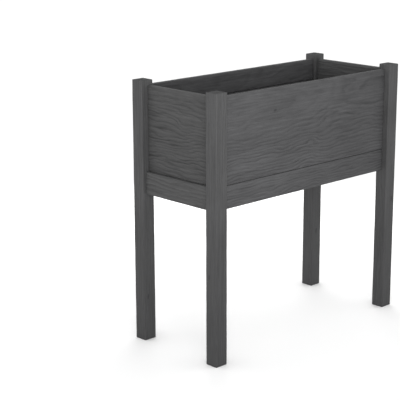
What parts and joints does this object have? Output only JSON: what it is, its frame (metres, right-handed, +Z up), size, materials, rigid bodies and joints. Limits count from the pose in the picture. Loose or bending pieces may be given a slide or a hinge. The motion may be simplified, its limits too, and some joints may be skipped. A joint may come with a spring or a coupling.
{
  "type": "raised planter",
  "caption": "Rectangular wooden planter box raised on square corner posts, with boarded walls, an open top and a slatted floor that lets water drain.",
  "frame": {"origin": "centre of the bounding box on the ground, in the plane under the four posts", "axes": "+Z up, +X along the length, -Y is the front long side, whose wide board is above its narrow board"},
  "size_m": [0.7, 0.31, 0.7],
  "materials": {
    "grey_stained_pine": "matte",
    "floor_pine": "matte",
    "dowel_beech": "matte",
    "zinc_screw": "satin"
  },
  "bodies": {
    "root": {"leg_front_left": "grey_stained_pine", "leg_front_right": "grey_stained_pine", "leg_back_left": "grey_stained_pine", "leg_back_right": "grey_stained_pine", "front_upper_board": "grey_stained_pine", "front_lower_board": "grey_stained_pine", "back_upper_board": "grey_stained_pine", "back_lower_board": "grey_stained_pine", "left_end_panel": "grey_stained_pine", "left_bottom_rail": "grey_stained_pine", "right_top_board": "grey_stained_pine", "right_end_panel": "grey_stained_pine", "right_bottom_rail": "grey_stained_pine", "front_floor_batten": "floor_pine", "back_floor_batten": "floor_pine", "floor_slat_1": "floor_pine", "floor_slat_2": "floor_pine", "floor_slat_3": "floor_pine", "floor_slat_4": "floor_pine", "floor_slat_5": "floor_pine", "floor_slat_6": "floor_pine", "floor_slat_7": "floor_pine", "front_wall_dowels": "dowel_beech", "back_wall_dowels": "dowel_beech", "left_end_dowels": "dowel_beech", "right_end_dowels": "dowel_beech", "front_batten_screws": "zinc_screw", "back_batten_screws": "zinc_screw", "floor_slat_screws": "zinc_screw"}
  },
  "joints": []
}
